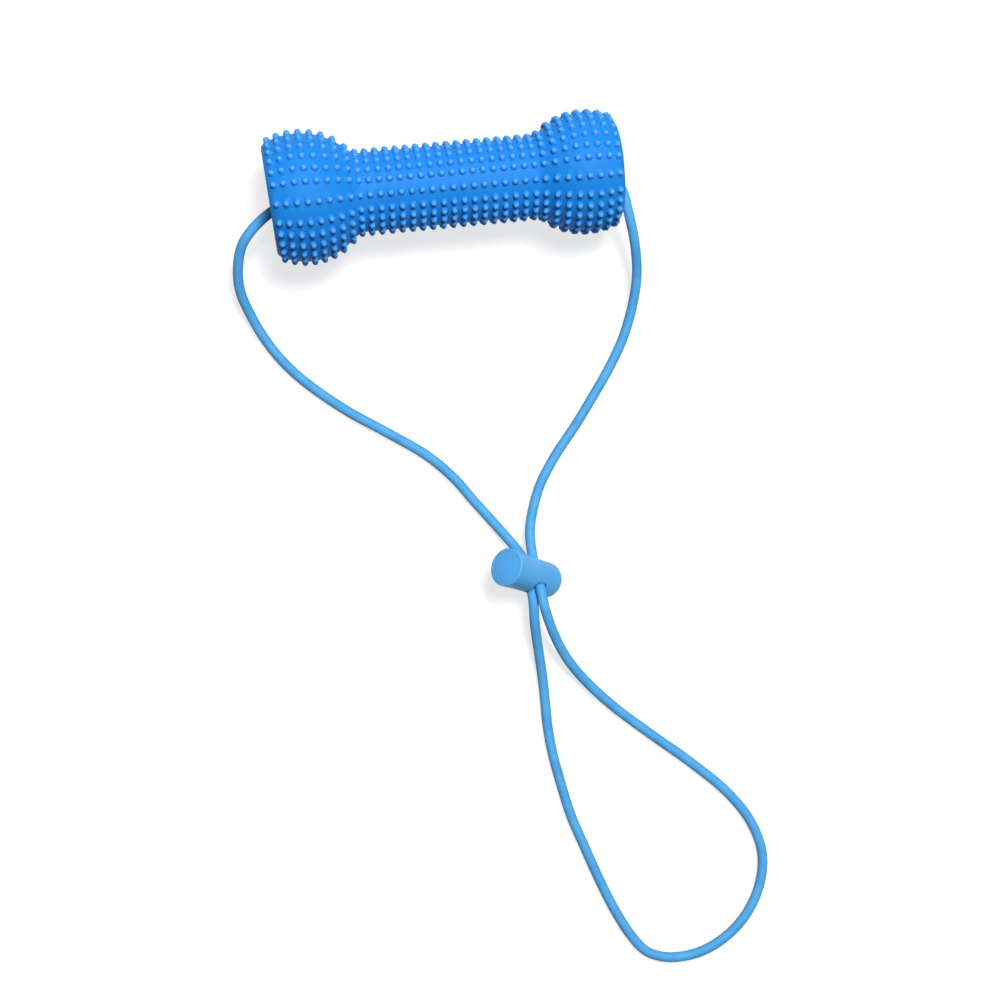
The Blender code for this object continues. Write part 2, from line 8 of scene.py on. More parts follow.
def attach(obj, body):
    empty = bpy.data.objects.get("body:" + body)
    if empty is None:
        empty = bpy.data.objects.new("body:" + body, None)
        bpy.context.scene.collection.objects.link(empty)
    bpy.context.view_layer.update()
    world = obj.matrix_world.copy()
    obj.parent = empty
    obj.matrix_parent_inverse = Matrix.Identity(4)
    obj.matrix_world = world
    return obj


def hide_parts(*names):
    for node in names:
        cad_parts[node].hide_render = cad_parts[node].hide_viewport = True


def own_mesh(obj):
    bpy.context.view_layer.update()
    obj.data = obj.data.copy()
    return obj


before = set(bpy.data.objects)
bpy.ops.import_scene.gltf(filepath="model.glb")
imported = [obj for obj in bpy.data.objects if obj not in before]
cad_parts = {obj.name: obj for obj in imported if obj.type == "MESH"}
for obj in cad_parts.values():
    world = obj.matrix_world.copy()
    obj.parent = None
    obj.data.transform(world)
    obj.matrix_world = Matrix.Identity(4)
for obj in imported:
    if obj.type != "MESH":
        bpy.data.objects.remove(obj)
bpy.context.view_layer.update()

mm = 0.001
quarterTurn = math.pi / 2
print("frame loaded")


def addObject(name, data):
    made = bpy.data.objects.new(name, data)
    bpy.context.scene.collection.objects.link(made)
    return made


# Camera: over the object, a little to its left, and turned, so that the bone slopes in the picture

camera = {
    "place": (-45.9 * mm, -112 * mm, 625 * mm),
    "lean": math.radians(-5.05),
    "turn": math.radians(-6.36),
    "sensor": 36,  # as wide as the picture
    "lens": 62.04,
    "clip": 10 * mm,
}


def makeCamera():
    data = bpy.data.cameras.new("camera")
    data.sensor_width = camera["sensor"]
    data.sensor_fit = "HORIZONTAL"
    data.lens = camera["lens"]
    data.clip_start = camera["clip"]
    eye = addObject("camera", data)
    turn = Matrix.Rotation(camera["lean"], 4, "Y") @ Matrix.Rotation(camera["turn"], 4, "Z")
    eye.matrix_world = Matrix.Translation(camera["place"]) @ turn
    bpy.context.scene.camera = eye


makeCamera()
print("camera placed")


# Materials

def startMaterial(name, look):
    made = bpy.data.materials.new(name)
    made.use_nodes = True
    nodes = made.node_tree.nodes
    shader = nodes["Principled BSDF"]
    shader.inputs["Base Color"].default_value = (*look["colour"], 1)
    for socket, value in look["sockets"].items():
        shader.inputs[socket].default_value = value
    return made, nodes, made.node_tree.links, shader


def noise(nodes, links, place, scale, detail):
    texture = nodes.new("ShaderNodeTexNoise")
    texture.inputs["Scale"].default_value = scale
    texture.inputs["Detail"].default_value = detail
    links.new(place, texture.inputs["Vector"])
    return texture.outputs["Fac"]


def patches(nodes, links, place, look, low, high):
    # soft patches between two colours
    made = nodes.new("ShaderNodeValToRGB")
    for end, position, colour in zip(made.color_ramp.elements, look["patchSpan"], (low, high)):
        end.position = position
        end.color = (*colour, 1)
    patch = noise(nodes, links, place, look["patchScale"], look["patchDetail"])
    links.new(patch, made.inputs["Fac"])
    return made.outputs["Color"]


def span(nodes, links, value, low, high, start=0, end=1):
    # as value goes from start to end, what comes back goes from low to high
    made = nodes.new("ShaderNodeMapRange")
    made.inputs["From Min"].default_value = start
    made.inputs["From Max"].default_value = end
    made.inputs["To Min"].default_value = low
    made.inputs["To Max"].default_value = high
    links.new(value, made.inputs["Value"])
    return made.outputs["Result"]


def addGrain(nodes, links, shader, place, look):
    # a fine unevenness of the gloss, of the surface or of both, as the look says
    grain = noise(nodes, links, place, look["grainScale"], look["grainDetail"])
    if "roughness" in look:
        links.new(span(nodes, links, grain, *look["roughness"]), shader.inputs["Roughness"])
    if "bump" in look:
        strength, depth = look["bump"]
        made = nodes.new("ShaderNodeBump")
        made.inputs["Strength"].default_value = strength
        made.inputs["Distance"].default_value = depth
        links.new(grain, made.inputs["Height"])
        links.new(made.outputs["Normal"], shader.inputs["Normal"])


def mixColour(nodes, links, share, first, second, blend):
    # the share and the two colours are values or other nodes' outputs
    made = nodes.new("ShaderNodeMix")
    made.data_type = "RGBA"
    made.blend_type = blend
    for socket, value in (("Factor", share), ("A", first), ("B", second)):
        target = [i for i in made.inputs if i.name == socket and i.enabled][0]
        if hasattr(value, "links"):
            links.new(value, target)
        else:
            target.default_value = value
    return [o for o in made.outputs if o.enabled][0]


boneRubber = {
    "colour": (0.012, 0.235, 0.715),
    # painted highlight: the nub tops are lighter, in place of the light and sheen on them
    "tip": (0.1, 0.4, 0.93),
    "patchTint": (0.9, 0.92, 0.95),
    "patchSpan": (0.3, 0.7),
    "patchScale": 60,
    "patchDetail": 3,
    "grainScale": 900,
    "grainDetail": 4,
    "roughness": (0.48, 0.62),
    "bump": (0.08, 0.1 * mm),  # its strength and its depth, as in the other finishes
    "sockets": {
        "Specular IOR Level": 0.12,
        "Subsurface Weight": 0.08,
        "Subsurface Radius": (0.4, 0.9, 2.2),
        "Subsurface Scale": 1.2 * mm,
    },
}


def boneMaterial():
    made, nodes, links, shader = startMaterial("boneRubber", boneRubber)
    place = nodes.new("ShaderNodeTexCoord").outputs["Object"]
    tint = patches(nodes, links, place, boneRubber, boneRubber["patchTint"], (1, 1, 1))
    body = mixColour(nodes, links, 1, (*boneRubber["colour"], 1), tint, "MULTIPLY")
    # painted highlight on the nub tops, mixed over the rubber's colour by the share each vertex holds
    tip = nodes.new("ShaderNodeAttribute")
    tip.attribute_name = "tip"
    tipped = mixColour(nodes, links, tip.outputs["Fac"], body, (*boneRubber["tip"], 1), "MIX")
    links.new(tipped, shader.inputs["Base Color"])
    addGrain(nodes, links, shader, place, boneRubber)
    return made


cordSheath = {
    "colour": (0.09, 0.4, 0.76),
    "shade": (0.07, 0.34, 0.7),
    "patchSpan": (0.35, 0.65),
    "patchScale": 180,
    "patchDetail": 3,
    "grainScale": 1500,
    "grainDetail": 2,
    "bump": (0.15, 0.1 * mm),
    "sockets": {"Roughness": 0.6, "Specular IOR Level": 0.2},
}


def cordMaterial():
    made, nodes, links, shader = startMaterial("cordSheath", cordSheath)
    place = nodes.new("ShaderNodeTexCoord").outputs["Object"]
    shade = patches(nodes, links, place, cordSheath, cordSheath["shade"], cordSheath["colour"])
    links.new(shade, shader.inputs["Base Color"])
    addGrain(nodes, links, shader, place, cordSheath)
    return made


lockPlastic = {
    "colour": (0.1, 0.44, 0.94),
    "shade": (0.085, 0.405, 0.9),
    "patchSpan": (0.3, 0.7),
    "patchScale": 90,
    "patchDetail": 3,
    "grainScale": 1800,
    "grainDetail": 3,
    "roughness": (0.4, 0.5),
    "bump": (0.05, 0.05 * mm),
    "sockets": {
        "Specular IOR Level": 0.3,
        "Subsurface Weight": 0.35,
        "Subsurface Radius": (0.5, 1, 2),
        "Subsurface Scale": 2.5 * mm,
    },
}


def lockMaterial():
    made, nodes, links, shader = startMaterial("lockPlastic", lockPlastic)
    place = nodes.new("ShaderNodeTexCoord").outputs["Object"]
    shade = patches(nodes, links, place, lockPlastic, lockPlastic["shade"], lockPlastic["colour"])
    links.new(shade, shader.inputs["Base Color"])
    addGrain(nodes, links, shader, place, lockPlastic)
    return made


joinerPlastic = {
    "colour": (0.05, 0.22, 0.66),
    "grainScale": 1200,
    "grainDetail": 3,
    "roughness": (0.42, 0.58),
    "sockets": {},
}


def joinerMaterial():
    made, nodes, links, shader = startMaterial("joinerPlastic", joinerPlastic)
    place = nodes.new("ShaderNodeTexCoord").outputs["Object"]
    addGrain(nodes, links, shader, place, joinerPlastic)
    return made


springSteel = {
    "colour": (0.6, 0.6, 0.62),
    "grainScale": 2500,
    "grainDetail": 3,
    "roughness": (0.2, 0.38),
    "sockets": {"Metallic": 1},
}


def springMaterial():
    made, nodes, links, shader = startMaterial("springSteel", springSteel)
    place = nodes.new("ShaderNodeTexCoord").outputs["Object"]
    addGrain(nodes, links, shader, place, springSteel)
    return made


finishes = {
    "bone": boneMaterial(),
    "cord": cordMaterial(),
    "lock": lockMaterial(),
    "joiner": joinerMaterial(),
    "spring": springMaterial(),
}
print("materials made")


# Helpers for pieces

meshing = {
    "merge": 0.002 * mm,
    "sharp": math.radians(40),  # an edge that turns by more is shaded as an edge
    "roundSteps": 4,
}


def smoothStep(share):
    share = min(max(share, 0), 1)
    return share * share * (3 - 2 * share)


def meshOf(name, bm):
    mesh = bpy.data.meshes.new(name)
    bm.to_mesh(mesh)
    bm.free()
    return mesh


def finishMesh(name, bm, finish, body, sharp=None):
    bmesh.ops.remove_doubles(bm, verts=bm.verts, dist=meshing["merge"])
    bmesh.ops.recalc_face_normals(bm, faces=bm.faces)
    mesh = meshOf(name, bm)
    mesh.shade_smooth()
    if sharp:
        mesh.set_sharp_from_angle(angle=sharp)
    mesh.materials.append(finish)
    piece = addObject(name, mesh)
    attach(piece, body)
    return piece


def evaluatedMesh(piece):
    return bpy.data.meshes.new_from_object(piece.evaluated_get(bpy.context.evaluated_depsgraph_get()))


def applyModifiers(piece):
    shaped = evaluatedMesh(piece)
    shaped.name = piece.name
    piece.modifiers.clear()
    piece.data = shaped


def spun(profile, axis, steps):
    # the profile turned once round the axis
    bm = bmesh.new()
    verts = [bm.verts.new(point) for point in profile]
    edges = [bm.edges.new(pair) for pair in zip(verts, verts[1:])]
    bmesh.ops.spin(
        bm, geom=verts + edges, cent=(0, 0, 0), axis=axis, angle=2 * math.pi, steps=steps, use_merge=True
    )
    return bm


def arc(centreX, centreR, radius, start, end, steps=meshing["roundSteps"]):
    # as (x, r), from the angle start to the angle end, 0 along x
    found = []
    for i in range(steps + 1):
        t = start + (end - start) * i / steps
        found.append((centreX + radius * math.cos(t), centreR + radius * math.sin(t)))
    return found


def roundCurve(name, line, radius, steps):
    # a round cord or wire along the line
    curve = bpy.data.curves.new(name, "CURVE")
    curve.dimensions = "3D"
    curve.bevel_depth = radius
    curve.bevel_resolution = steps
    curve.use_fill_caps = True
    spline = curve.splines.new("POLY")
    spline.points.add(len(line) - 1)
    for place, point in zip(spline.points, line):
        place.co = (*point, 1)
    spline.use_smooth = True
    return curve


# Chew bone

bone = {
    "length": 122.5 * mm,
    "shaft": 13.6 * mm,
    "leftLobe": 22 * mm,
    "rightLobe": 20.3 * mm,
    "lobeArc": 24 * mm,
    "crownFromEnd": 11.6 * mm,
    "neck": 2.4 * mm,
    "rim": 1 * mm,
    "bore": 6 * mm,
    "mouth": 2.5 * mm,
    "rimHold": 1 * mm,  # this and the next two keep the roundings tight when the mesh is softened
    "mouthHold": 0.5 * mm,
    "boreHold": 1.5 * mm,
    "merge": 0.01 * mm,
    "roll": math.radians(14.4),
    "endLean": math.radians(2.7),  # of the left end face, nearer the middle towards -Y
    "leanReach": 31 * mm,  # along the bone, until the lean has gone
}
nubs = {
    "rings": 34,
    "pitch": 3.58 * mm,
    "width": 2.4 * mm,
    "height": 1.5 * mm,
    "leastPitch": 2.5 * mm,  # a cell narrower than this gets no nub
    "quarterRows": 7,  # in each quarter of a lobe, of which the shaft has fewer
    "shaftRows": 5,
    "shaftStep": math.radians(14.9),
    "shaftEdge": math.radians(85.6),
    "lobeBand": math.radians(6),
    "shaftBand": math.radians(5.6),
    "blendStart": 18.8 * mm,
    "blendEnd": 31.8 * mm,
    # from foot to top: shares of the height, of the half width and of the painted highlight on the tip
    "outline": ((0, 1.12, 0), (0.42, 0.98, 0.3), (0.9, 0.72, 0.8), (1.1, 0.3, 0.9)),
    "leastTipHighlight": 0.001,  # with less of the painted tip highlight, it is the bone between the nubs
}
boneHalf = bone["length"] / 2
boneLift = (bone["leftLobe"] + bone["rightLobe"]) / 2 + nubs["height"]
boneTilt = math.asin((bone["leftLobe"] - bone["rightLobe"]) / (bone["length"] - 2 * bone["crownFromEnd"]))
boneFrame = Matrix.Translation((0, 0, boneLift)) @ Matrix.Rotation(boneTilt, 4, "Y")


def coreRadius(x):
    beyondCrown = boneHalf - abs(x) - bone["crownFromEnd"]
    crown = bone["leftLobe"] if x < 0 else bone["rightLobe"]
    lobe = crown - bone["lobeArc"] + math.sqrt(max(bone["lobeArc"] ** 2 - beyondCrown**2, 0))
    share = max(bone["neck"] - abs(lobe - bone["shaft"]), 0) / bone["neck"]
    return max(lobe, bone["shaft"]) + share**2 * bone["neck"] / 4


def coreSlope(x):
    reach = 0.01 * mm
    return math.atan2(coreRadius(x + reach) - coreRadius(x - reach), 2 * reach)


def rowAngle(row, x):
    # from the middle of the smooth band that the row's quarter starts at
    if not row:
        return 0
    quarter, edge = nubs["quarterRows"], nubs["shaftRows"] + 0.5
    lobe = nubs["lobeBand"] + row * (quarterTurn - nubs["lobeBand"]) / quarter
    if row < edge:
        shaft = nubs["shaftBand"] + row * nubs["shaftStep"]
    else:
        shaft = nubs["shaftEdge"] + (row - edge) / (quarter - edge) * (quarterTurn - nubs["shaftEdge"])
    share = (boneHalf - abs(x) - nubs["blendStart"]) / (nubs["blendEnd"] - nubs["blendStart"])
    return lobe + smoothStep(share) * (shaft - lobe)


def columnAngle(column, x):
    # a number and a half is the border between two rows
    quarter, row = divmod(column, nubs["quarterRows"])
    if quarter % 2 == 0:
        return quarter * quarterTurn + rowAngle(row, x)
    return (quarter + 1) * quarterTurn - rowAngle(nubs["quarterRows"] - row, x)


def turnBetween(one, other):
    return abs((one - other + math.pi) % (2 * math.pi) - math.pi)


def onBone(x, angle, lift=0):
    slope = coreSlope(x)
    radius = coreRadius(x) + lift * math.cos(slope)
    turn = angle + bone["roll"]
    return Vector((x - lift * math.sin(slope), -radius * math.sin(turn), radius * math.cos(turn)))


def isOuter(point):
    # on the bone's outside, not on the wall of its bore
    return math.hypot(point.y, point.z) > (bone["bore"] + bone["shaft"]) / 2


def boneEnd(border):
    # from the last cell round the rim, down the end face and into the bore
    side = math.copysign(1, border)
    slope = abs(coreSlope(border))
    rim = bone["rim"] / (1 - math.sin(slope))
    rimX = abs(border) - rim * math.sin(slope)
    rimR = coreRadius(border) - rim * math.cos(slope)
    bore, mouth = bone["bore"], bone["mouth"]
    found = arc(rimX, rimR, rim, quarterTurn - slope, 0)[1:]
    found += [(boneHalf, rimR - bone["rimHold"]), (boneHalf, (rimR + bore + mouth) / 2)]
    found += [(boneHalf, bore + mouth + bone["mouthHold"])]
    found += arc(boneHalf - mouth, bore + mouth, mouth, 0, -quarterTurn)
    found += [(boneHalf - mouth - bone["boreHold"], bore), (boneHalf / 2, bore)]
    return [(side * x, 0, r) for x, r in found]


def nubPlaces(borders, columns):
    found = {}
    for ring, (low, high) in enumerate(zip(borders, borders[1:])):
        x = (low + high) / 2
        for column in range(columns):
            angle = columnAngle(column, x)
            room = min(angle - columnAngle(column - 0.5, x), columnAngle(column + 0.5, x) - angle)
            if 2 * room * coreRadius(x) > nubs["leastPitch"]:
                found[ring, column] = (x, angle)
    return found


def nubCells(bm, borders, columns):
    # the faces that get a nub, each with the nub's place
    places = nubPlaces(borders, columns)
    found = {}
    for face in bm.faces:
        middle = face.calc_center_median()
        ring = next((i for i in range(len(borders) - 1) if borders[i] < middle.x < borders[i + 1]), None)
        if ring is None or not isOuter(middle):
            continue
        x = (borders[ring] + borders[ring + 1]) / 2
        angle = math.atan2(-middle.y, middle.z) - bone["roll"]
        column = min(range(columns), key=lambda c: turnBetween(angle, columnAngle(c, x)))
        place = places.get((ring, column))
        if place:
            found[face] = place
    return found


def growNubs(bm, cells, tipLayer, nubLayer):
    # each nub is inset from its cell, then pulled out in steps to a rounded top
    tops = list(cells)
    places = [cells[face] for face in tops]
    for i, face in enumerate(tops):
        face[nubLayer] = i
    half = nubs["width"] / 2
    bmesh.ops.inset_individual(bm, faces=tops, thickness=half / 4)
    for step, (heightShare, widthShare, tipShare) in enumerate(nubs["outline"]):
        if step:
            tops = bmesh.ops.extrude_discrete_faces(bm, faces=tops)["faces"]
        for face in tops:
            x, angle = places[face[nubLayer]]
            centre = onBone(x, angle)
            out = (onBone(x, angle, half) - centre).normalized()
            around = Vector((1, 0, 0)).cross(out).normalized()
            along = out.cross(around)
            for vert in face.verts:
                away = vert.co - centre
                side = math.copysign(half * widthShare, away.dot(along))
                turned = math.copysign(half * widthShare, away.dot(around))
                vert.co = centre + along * side + around * turned + out * nubs["height"] * heightShare
                # the share of painted highlight, growing towards the top
                vert[tipLayer] = tipShare


def columnsToRows(bm, columns):
    # the spin's even columns go to the borders between the rows of nubs
    step = 2 * math.pi / columns
    for vert in bm.verts:
        column = round(math.atan2(-vert.co.y, vert.co.z) % (2 * math.pi) / step) % columns
        radius = math.hypot(vert.co.y, vert.co.z)
        turn = columnAngle(column + 0.5, vert.co.x) + bone["roll"]
        vert.co = (vert.co.x, -radius * math.sin(turn), radius * math.cos(turn))


def softenBone(piece):
    # one subdivision, with what lies between the nubs brought back to the bone's true outline
    soften = piece.modifiers.new("soften", "SUBSURF")
    soften.levels = soften.render_levels = 1
    applyModifiers(piece)
    bm = bmesh.new()
    bm.from_mesh(piece.data)
    tipLayer = bm.verts.layers.float["tip"]
    for vert in bm.verts:
        inside = abs(vert.co.x) <= boneHalf - bone["rim"]
        if inside and vert[tipLayer] < nubs["leastTipHighlight"] and isOuter(vert.co):
            radius = math.hypot(vert.co.y, vert.co.z)
            vert.co.yz = vert.co.yz * (coreRadius(vert.co.x) / radius)
    for vert in bm.verts:
        share = smoothStep((-vert.co.x - boneHalf + bone["leanReach"]) / bone["leanReach"])
        vert.co.x -= share * math.tan(bone["endLean"]) * vert.co.y
    bm.transform(boneFrame)
    bm.to_mesh(piece.data)
    bm.free()
    piece.data.shade_smooth()


def makeBone():
    columns = 4 * nubs["quarterRows"]
    last = boneHalf - bone["rim"]
    borders = [nubs["pitch"] * (i - nubs["rings"] / 2) for i in range(nubs["rings"] + 1)]
    borders = [max(-last, min(x, last)) for x in borders]
    outer = [(x, 0, coreRadius(x)) for x in borders]
    profile = outer + boneEnd(borders[-1]) + boneEnd(borders[0])[::-1]
    bm = spun(profile + profile[:1], (1, 0, 0), columns)
    bmesh.ops.remove_doubles(bm, verts=bm.verts, dist=bone["merge"])
    tipLayer = bm.verts.layers.float.new("tip")
    nubLayer = bm.faces.layers.int.new("nub")
    columnsToRows(bm, columns)
    bmesh.ops.recalc_face_normals(bm, faces=bm.faces)
    growNubs(bm, nubCells(bm, borders, columns), tipLayer, nubLayer)
    piece = finishMesh("chewBone", bm, finishes["bone"], "bone")
    softenBone(piece)
    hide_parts("chew_bone")


makeBone()
print("bone made")


# Cord lock

lock = {
    "place": (24.5 * mm, -143.5 * mm),  # of its closed end
    "azimuth": math.radians(155.6),
    "tilt": math.radians(45),
    "roll": math.radians(38),
    "length": 27.7 * mm,
    "endRadius": 6.4 * mm,
    "faceRadius": 6.85 * mm,
    "endRounding": 4.4 * mm,
    "rim": 0.4 * mm,
    "flareStart": 15.5 * mm,
    "flarePower": 1.6,
    "bore": 5.2 * mm,
    "floor": 2.6 * mm,
    "press": 2.4 * mm,
    "button": 5.87 * mm,
    "buttonThick": 1.6 * mm,
    "seam": 0.03 * mm,
    "lip": 0.05 * mm,  # rounding on either side of the seam
    "gap": 0.3 * mm,
    "cordFromEnd": 12 * mm,  # along the lock, as the slots' places are
    "slotWidth": 8.1 * mm,
    "cordRoom": 2.1 * mm,  # from the cord's middle to the edge of a slot
    "headroom": 1.8 * mm,  # more of it in the barrel's slot, on the button's side
    "slotCorner": 1.6 * mm,
    "slotEdge": 0.35 * mm,
    "slotEdgeAngle": math.radians(50),
    "web": 3 * mm,
    "pocket": 1.6 * mm,
    "pocketRadius": 3.6 * mm,
    "steps": 96,
    "endSteps": 10,
    "flareSteps": 16,
    "cornerSteps": 8,
    "edgeSteps": 3,
}
lockLow = lock["endRounding"] * (1 - math.cos(lock["tilt"]))
lockLow += (lock["endRadius"] - lock["endRounding"]) * math.sin(lock["tilt"])
lockFrame = (
    Matrix.Translation((*lock["place"], lockLow))
    @ Matrix.Rotation(lock["azimuth"], 4, "Z")
    @ Matrix.Rotation(lock["tilt"], 4, "Y")
    @ Matrix.Rotation(lock["roll"], 4, "Z")
)
slotLow = lock["cordFromEnd"] - lock["cordRoom"]
slotHigh = lock["cordFromEnd"] + lock["cordRoom"]
stemEnd = slotLow - lock["web"]


def lockRadius(z):
    share = max(z - lock["flareStart"], 0) / (lock["length"] - lock["flareStart"])
    return lock["endRadius"] + (lock["faceRadius"] - lock["endRadius"]) * share ** lock["flarePower"]


def cutSlot(piece, low, high):
    # right through the piece, with rounded corners and edges
    bm = bmesh.new()
    bmesh.ops.create_cube(bm, size=1)
    depth = 4 * lock["faceRadius"]
    bmesh.ops.scale(bm, vec=(lock["slotWidth"], depth, high - low), verts=bm.verts)
    bmesh.ops.bevel(
        bm,
        geom=[e for e in bm.edges if abs((e.verts[0].co - e.verts[1].co).y) > depth / 2],
        offset=lock["slotCorner"],
        segments=lock["cornerSteps"],
        profile=0.5,
        affect="EDGES",
        material=-1,
    )
    bmesh.ops.translate(bm, vec=(0, 0, (low + high) / 2), verts=bm.verts)
    cutter = addObject("slotCutter", meshOf("slotCutter", bm))
    cut = piece.modifiers.new("slot", "BOOLEAN")
    cut.operation = "DIFFERENCE"
    cut.solver = "EXACT"
    cut.object = cutter
    rounded = piece.modifiers.new("round", "BEVEL")
    rounded.limit_method = "ANGLE"
    rounded.angle_limit = lock["slotEdgeAngle"]
    rounded.width = lock["slotEdge"]
    rounded.segments = lock["edgeSteps"]
    applyModifiers(piece)
    bpy.data.objects.remove(cutter)


def makeBarrel():
    rounding, rim, lip = lock["endRounding"], lock["rim"], lock["lip"]
    top, mouth = lock["length"] - lock["rim"], lock["button"] + lock["seam"]
    shoulder = lock["length"] - lock["buttonThick"] - lock["press"] - lock["gap"]
    outline = [(0, 0)]
    outline += arc(
        rounding, lock["endRadius"] - rounding, rounding, 2 * quarterTurn, quarterTurn, lock["endSteps"]
    )
    for i in range(lock["flareSteps"] + 1):
        z = lock["flareStart"] + (top - lock["flareStart"]) * i / lock["flareSteps"]
        outline.append((z, lockRadius(z)))
    outline += arc(top, lockRadius(top) - rim, rim, quarterTurn, 0)[1:]
    outline += [(lock["length"], mouth + lip), (lock["length"] - lip, mouth), (shoulder, mouth)]
    outline += [(shoulder, lock["bore"]), (lock["floor"], lock["bore"]), (lock["floor"], 0)]
    bm = spun([(r, 0, z) for z, r in outline], (0, 0, 1), lock["steps"])
    piece = finishMesh("lockBarrel", bm, finishes["lock"], "cord_and_lock", meshing["sharp"])
    cutSlot(piece, slotLow, slotHigh + lock["headroom"])
    piece.data.transform(lockFrame)
    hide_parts("lock_barrel")


def makePlunger():
    stem, button, lip = lock["bore"] - lock["gap"], lock["button"], lock["lip"]
    head = lock["length"] - lock["buttonThick"]
    outline = [(stemEnd + lock["pocket"], 0), (stemEnd + lock["pocket"], lock["pocketRadius"])]
    outline += [(stemEnd, lock["pocketRadius"]), (stemEnd, stem), (head, stem), (head, button)]
    outline += arc(lock["length"] - lip, button - lip, lip, quarterTurn, 0, lock["edgeSteps"])
    outline += [(lock["length"], 0)]
    bm = spun([(r, 0, z) for z, r in outline], (0, 0, 1), lock["steps"])
    piece = finishMesh("lockPlunger", bm, finishes["lock"], "plunger", meshing["sharp"])
    cutSlot(piece, slotLow, slotHigh + lock["press"])
    piece.data.transform(lockFrame)
    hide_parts("lock_plunger")


makeBarrel()
makePlunger()
print("lock made")


# Elastic cord: its route from the bore to the lock on either side, and the loop

cord = {
    "radius": 1.8 * mm,
    "samples": 16,
    "spacing": 1.2 * mm,
    "steps": 5,
    "boreY": -0.5 * mm,
    "boreLift": -2.4 * mm,
    "cutX": 47.25 * mm,  # where the stretch in the bore ends
    "boreLead": 4 * mm,
    "lockLead": 7 * mm,
    "side": 1.95 * mm,  # from the lock's middle to each of the two stretches in it
    "meet": 0.15 * mm,
}
leftRoute = (
    (-55.0, -1.1, 21.1),
    (-59.2, -2.5, 21.4),
    (-63.5, -5.1, 21.6),
    (-68.4, -9.0, 20.9),
    (-72.3, -13.5, 18.9),
    (-74.8, -20.4, 14.6),
    (-75.2, -28.0, 9.6),
    (-72.9, -35.8, 5.2),
    (-69.4, -43.8, 2.6),
    (-64.3, -52.3, 1.9),
    (-56.7, -61.3, 1.8),
    (-42.6, -73.6, 1.8),
    (-28.8, -83.2, 1.8),
    (-15.7, -92.8, 1.8),
    (-6.8, -102.0, 1.8),
    (-0.6, -110.9, 1.8),
    (5.0, -118.7, 2.4),
    (9.2, -124.7, 3.3),
    (12.4, -129.5, 4.4),
)
rightRoute = (
    (55.0, -1.0, 19.3),
    (58.1, -2.0, 19.5),
    (60.5, -3.5, 19.7),
    (62.3, -5.6, 19.8),
    (63.3, -8.4, 19.8),
    (63.9, -12.0, 19.6),
    (64.7, -16.8, 18.7),
    (65.7, -22.4, 16.6),
    (66.6, -29.0, 12.9),
    (66.8, -36.8, 8.4),
    (64.8, -46.7, 4.2),
    (60.8, -57.1, 1.9),
    (54.7, -67.4, 1.8),
    (47.2, -77.7, 1.8),
    (39.4, -87.8, 1.8),
    (30.9, -97.9, 1.8),
    (24.2, -107.8, 1.9),
    (20.4, -116.6, 3.3),
    (18.2, -124.3, 5.4),
)
loopRoute = (
    (15.8, -151.0, 13.3),
    (15.6, -156.0, 12.2),
    (15.9, -161.5, 9.4),
    (16.5, -168.0, 6.0),
    (17.1, -177.0, 2.9),
    (17.2, -186.0, 1.9),
    (17.1, -195.1, 1.8),
    (17.8, -205.0, 1.8),
    (19.6, -216.5, 1.8),
    (22.0, -228.6, 1.8),
    (25.5, -240.0, 1.8),
    (29.2, -251.5, 1.8),
    (33.4, -263.0, 1.8),
    (38.6, -274.0, 1.8),
    (43.4, -280.6, 1.8),
    (48.0, -283.3, 1.8),
    (55.0, -284.7, 1.8),
    (64.5, -283.7, 1.8),
    (74.1, -279.4, 1.8),
    (82.5, -272.1, 1.8),
    (88.5, -261.8, 1.8),
    (90.5, -251.0, 1.8),
    (87.7, -239.4, 1.8),
    (80.5, -227.8, 1.8),
    (68.3, -215.2, 1.8),
    (54.0, -202.4, 1.8),
    (42.0, -191.2, 2.0),
    (32.3, -180.2, 4.0),
    (25.9, -170.6, 8.0),
    (22.1, -161.8, 12.2),
    (20.0, -154.5, 15.0),
    (19.1, -149.5, 15.8),
)


def inBone(x):
    return boneFrame @ Vector((x, cord["boreY"], cord["boreLift"]))


def inLock(side, y):
    return lockFrame @ Vector((side * cord["side"], y, lock["cordFromEnd"]))


def smoothLine(points):
    # through the points, never below the ground
    ends = [2 * points[0] - points[1]] + points + [2 * points[-1] - points[-2]]
    found = []
    for p0, p1, p2, p3 in zip(ends, ends[1:], ends[2:], ends[3:]):
        d1, d2, d3 = ((b - a).length ** 0.5 for a, b in ((p0, p1), (p1, p2), (p2, p3)))
        t1, t2, t3 = d1, d1 + d2, d1 + d2 + d3
        for i in range(cord["samples"]):
            t = t1 + d2 * i / cord["samples"]
            a1 = p0.lerp(p1, t / t1)
            a2 = p1.lerp(p2, (t - t1) / d2)
            a3 = p2.lerp(p3, (t - t2) / d3)
            b1 = a1.lerp(a2, t / t2)
            b2 = a2.lerp(a3, (t - t1) / (t3 - t1))
            found.append(b1.lerp(b2, (t - t1) / d2))
    found.append(points[-1])
    for point in found:
        point.z = max(point.z, cord["radius"])
    return found


def evenly(line, spacing):
    # the same line in steps of about the spacing
    found, run = [line[0]], 0
    for before, here in zip(line, line[1:]):
        run += (here - before).length
        if run >= spacing:
            found.append(here)
            run = 0
    if (found[-1] - line[-1]).length < spacing / 2:
        found.pop()
    return found + [line[-1]]


def makeCord(name, start, route, end, nodes):
    points = start + [Vector(point) * mm for point in route] + end
    line = evenly(smoothLine(points), cord["spacing"])
    curve = roundCurve(name, line, cord["radius"], cord["steps"])
    curve.materials.append(finishes["cord"])
    piece = addObject(name, curve)
    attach(piece, "cord_and_lock")
    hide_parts(*nodes)


